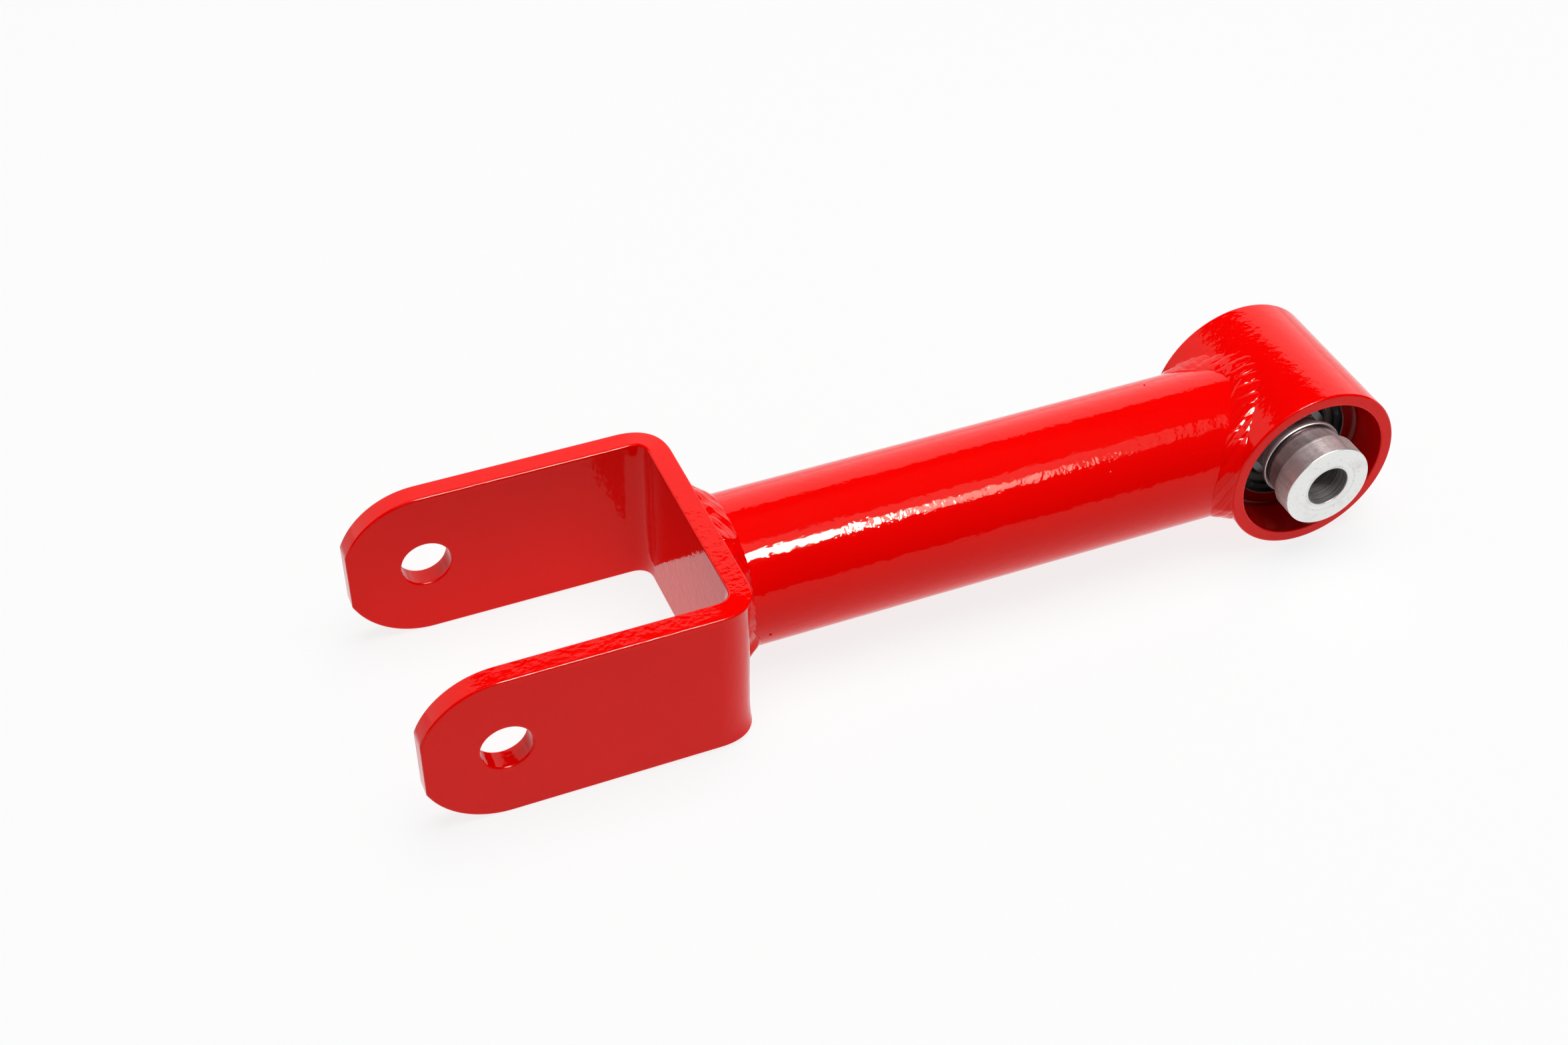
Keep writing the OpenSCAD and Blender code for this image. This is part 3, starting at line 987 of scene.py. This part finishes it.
class ARM_OT_stage(bpy.types.Operator):
    """Lay the pale floor and set the soft lights and the camera"""
    bl_idname = "arm.stage"
    bl_label = "Stage"

    # The camera, in metres and degrees
    camera_place = Vector((-0.0896, -0.4298, 0.4305))
    camera_turn = -23.07
    camera_height = 41.81
    camera_roll = 0.72
    camera_lens = 52.0
    floor_half = 4.0

    # Strength of the surround as a fill, and as it is seen
    fill = 0.21
    surround = 0.95

    # Each light: its place, what it points at, its size, its radiance and its use
    lights = {
        "strip": ((0.47, -1.02, 1.62), (0.47, 0.0, 0.0), (0.62, 0.36), 150.0, "shine"),
        "strip_end": ((0.90, -1.02, 1.62), (0.90, 0.0, 0.0), (0.24, 0.36), 18.0, "shine"),
        "glow": ((0.3, -0.90, 2.0), (0.3, 0.0, 0.0), (2.2, 0.80), 1.8, "shine"),
        "back_panel": ((0.6, 2.2, 1.12), (0.6, 0.0, 1.12), (9.0, 2.40), 1.5, "shine"),
        "overhead": ((0.35, 0.05, 1.75), (0.12, 0.0, 0.0), (1.5, 1.5), 5.35, "fill"),
    }

    def add_floor(self):
        half = self.floor_half
        mesh = bpy.data.meshes.new("floor")
        corners = [(-half, -half, 0), (half, -half, 0), (half, half, 0), (-half, half, 0)]
        mesh.from_pydata(corners, [], [(0, 1, 2, 3)])
        mesh.materials.append(make_floor("pale_floor"))
        floor = bpy.data.objects.new("floor", mesh)
        floor.rotation_euler = (0.0, floor_tilt(), 0.0)
        floor.location = (0.0, 0.0, -PLATE_HALF)
        bpy.context.scene.collection.objects.link(floor)

    def add_light(self, name, place, target, size, radiance, use):
        """A rectangular light whose own X stays level.

        One for shine shows only in reflections, and one for fill doesn't show in them.
        """
        light = bpy.data.lights.new(name, "AREA")
        light.shape = "RECTANGLE"
        light.size, light.size_y = size
        light.energy = radiance * math.pi * size[0] * size[1]
        holder = bpy.data.objects.new(name, light)
        back = (Vector(place) - Vector(target)).normalized()
        side = Vector((0, 0, 1)).cross(back).normalized()
        turn = Matrix((side, back.cross(side), back)).transposed()
        holder.matrix_world = Matrix.Translation(place) @ turn.to_4x4()
        holder.visible_diffuse = use == "fill"
        holder.visible_glossy = use == "shine"
        bpy.context.scene.collection.objects.link(holder)

    def add_camera(self):
        turn = math.radians(self.camera_turn)
        height = math.radians(self.camera_height)
        roll = math.radians(self.camera_roll)
        right = Vector((math.cos(turn), math.sin(turn), 0.0))
        back = Vector((math.sin(turn) * math.cos(height), -math.cos(turn) * math.cos(height),
                       math.sin(height)))
        up = back.cross(right)
        side = right * math.cos(roll) + up * math.sin(roll)
        top = up * math.cos(roll) - right * math.sin(roll)
        camera = bpy.data.cameras.new("camera")
        camera.lens = self.camera_lens
        camera.sensor_width = 36.0
        camera.clip_start = 0.01
        holder = bpy.data.objects.new("camera", camera)
        holder.matrix_world = (Matrix.Translation(self.camera_place)
                               @ Matrix((side, top, back)).transposed().to_4x4())
        bpy.context.scene.collection.objects.link(holder)
        bpy.context.scene.camera = holder

    def set_world(self):
        """Soft fill all around that mirrors don't show, and a white surround."""
        world = bpy.data.worlds.new("studio")
        world.use_nodes = True
        nodes = world.node_tree.nodes
        links = world.node_tree.links
        background = nodes["Background"]
        background.inputs["Color"].default_value = (1.0, 1.0, 1.0, 1.0)
        path = nodes.new("ShaderNodeLightPath")
        level = nodes.new("ShaderNodeMapRange")
        level.inputs["To Min"].default_value = self.fill
        level.inputs["To Max"].default_value = self.surround
        links.new(path.outputs["Is Camera Ray"], level.inputs["Value"])
        links.new(level.outputs["Result"], background.inputs["Strength"])
        world.cycles_visibility.glossy = False
        bpy.context.scene.world = world

    def execute(self, context):
        context.scene.view_settings.view_transform = "Standard"
        self.add_camera()
        self.add_floor()
        self.set_world()
        for name, light in self.lights.items():
            self.add_light(name, *light)
        return {"FINISHED"}


class ARM_OT_clevis(bpy.types.Operator):
    """Make the bent plate with its two drilled ears"""
    bl_idname = "arm.clevis"
    bl_label = "Clevis"

    def execute(self, context):
        add_piece("clevis_bracket", make_clevis_shape(context.scene.arm_sizes), "arm",
                  [make_coat("coat_on_plate")])
        return {"FINISHED"}


class ARM_OT_tube(bpy.types.Operator):
    """Make the tube between the clevis and the barrel"""
    bl_idname = "arm.tube"
    bl_label = "Tube"

    def execute(self, context):
        add_piece("arm_tube", make_tube_shape(context.scene.arm_sizes), "arm",
                  [make_coat("coat_on_tube")])
        return {"FINISHED"}


class ARM_OT_barrel(bpy.types.Operator):
    """Make the cross barrel with its bare bearing seat"""
    bl_idname = "arm.barrel"
    bl_label = "Barrel"

    def execute(self, context):
        sizes = context.scene.arm_sizes
        # The bare seat takes the darkened steel: painted shade
        steel = context.scene.arm_finish.steel
        bare_past_seat = 0.00021
        coated_from = sizes.seat + bare_past_seat

        def pick_material(face):
            centre = face.calc_center_median()
            return 1 if math.hypot(centre.x - AXIS_X, centre.z) < coated_from else 0

        add_piece("bearing_barrel", make_barrel_shape(sizes), "arm",
                  [make_coat("coat_on_barrel", inside=sizes.mouth),
                   make_turned_metal("bare_seat", steel, roughness=0.30, ring_pitch=0.00012,
                                     ring_depth=0.000006)],
                  pick_material)
        return {"FINISHED"}


class ARM_OT_welds(bpy.types.Operator):
    """Lay the two coated weld beads"""
    bl_idname = "arm.welds"
    bl_label = "Weld beads"

    def execute(self, context):
        sizes = context.scene.arm_sizes
        coat = make_coat("coat_on_welds", thick=0.15)
        add_piece("clevis_weld", make_clevis_weld_shape(sizes), "arm", [coat])
        add_piece("barrel_weld", make_barrel_weld_shape(sizes), "arm", [coat])
        return {"FINISHED"}


class ARM_OT_bearing(bpy.types.Operator):
    """Make the race, its liner and the ball"""
    bl_idname = "arm.bearing"
    bl_label = "Spherical bearing"

    def execute(self, context):
        sizes = context.scene.arm_sizes
        colours = context.scene.arm_finish
        liner_clear = 0.00005
        liner_outer = sizes.race_bore - liner_clear
        # The race and the ball take darkened steel and chrome: painted shade inside the barrel
        add_piece("bearing_race", make_race_shape(sizes), "arm",
                  [make_turned_metal("ground_race", colours.steel, roughness=0.26,
                                     ring_pitch=0.00010, ring_depth=0.000004)])
        add_piece("race_liner",
                  make_band_shape(liner_outer - sizes.liner, liner_outer, LINER_FACE), "liner",
                  [make_liner("woven_liner")])
        # The ball's darkened chrome is painted shade
        add_piece("bearing_ball", make_ball_shape(sizes), "ball",
                  [make_turned_metal("hard_chrome", colours.chrome, roughness=0.10,
                                     ring_pitch=0.00008, ring_depth=0.000001, wear=0.25)])
        return {"FINISHED"}


class ARM_OT_snap_rings(bpy.types.Operator):
    """Make the two open rings that keep the race in the barrel"""
    bl_idname = "arm.snap_rings"
    bl_label = "Snap rings"

    def execute(self, context):
        oxide = make_oxide("black_oxide")
        for name, side in (("right_snap_ring", -1), ("left_snap_ring", 1)):
            add_piece(name, make_snap_ring_shape(context.scene.arm_sizes, side), "arm",
                      [oxide])
        return {"FINISHED"}


class ARM_OT_spacers(bpy.types.Operator):
    """Make the two misalignment spacers"""
    bl_idname = "arm.spacers"
    bl_label = "Spacers"

    def execute(self, context):
        sizes = context.scene.arm_sizes
        metal = make_turned_metal("turned_metal", context.scene.arm_finish.turned,
                                  roughness=0.28, ring_pitch=0.00018, ring_depth=0.000018,
                                  wear=0.7, spacer=sizes)
        for name, side in (("right_spacer", -1), ("left_spacer", 1)):
            add_piece(name, make_spacer_shape(sizes, side), "spacers",
                      [metal])
        return {"FINISHED"}


OPERATORS = (
    ARM_OT_stage, ARM_OT_clevis, ARM_OT_tube, ARM_OT_barrel, ARM_OT_welds,
    ARM_OT_bearing, ARM_OT_snap_rings, ARM_OT_spacers,
)


class ARM_PT_panel(bpy.types.Panel):
    """Lists the operators and the sizes and colours"""
    bl_idname = "ARM_PT_panel"
    bl_label = "Control Arm"
    bl_space_type = "VIEW_3D"
    bl_region_type = "UI"
    bl_category = "Control Arm"

    def draw(self, context):
        layout = self.layout
        for operator in OPERATORS:
            layout.operator(operator.bl_idname)
        for group in (context.scene.arm_sizes, context.scene.arm_finish):
            for name in group.__annotations__:
                layout.prop(group, name)


CLASSES = (ArmSizes, ArmFinish, *OPERATORS, ARM_PT_panel)


def register():
    for cls in CLASSES:
        bpy.utils.register_class(cls)
    bpy.types.Scene.arm_sizes = PointerProperty(type=ArmSizes)
    bpy.types.Scene.arm_finish = PointerProperty(type=ArmFinish)


def unregister():
    del bpy.types.Scene.arm_finish
    del bpy.types.Scene.arm_sizes
    for cls in reversed(CLASSES):
        bpy.utils.unregister_class(cls)


def main():
    register()
    for operator in OPERATORS:
        group, name = operator.bl_idname.split(".")
        getattr(getattr(bpy.ops, group), name)()


if __name__ == "__main__":
    main()
